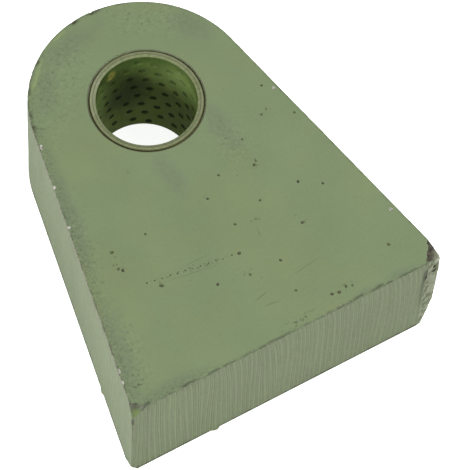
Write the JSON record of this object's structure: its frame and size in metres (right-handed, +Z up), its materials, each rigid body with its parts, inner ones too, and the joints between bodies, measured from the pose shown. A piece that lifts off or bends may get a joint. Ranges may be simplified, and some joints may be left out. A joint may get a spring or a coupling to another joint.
{
  "type": "weld-on pivot lug",
  "caption": "Thick flame-cut steel eye plate that is welded on by its flat end and carries a hinge pin in a pressed-in wrapped bronze bush with grease pockets.",
  "frame": {"origin": "on the bore axis, at the lower face on which the lug lies", "axes": "+Z up along the bore axis, +Y from the flat weld base towards the rounded end, +X across the base"},
  "size_m": [0.1028, 0.121, 0.04],
  "materials": {
    "painted_plate": "matt sage-green primer over flame-cut steel",
    "bronze": "wrapped bronze, dusted with green overspray"
  },
  "bodies": {
    "root": {"plate": "painted_plate", "bush": "bronze"}
  },
  "joints": []
}
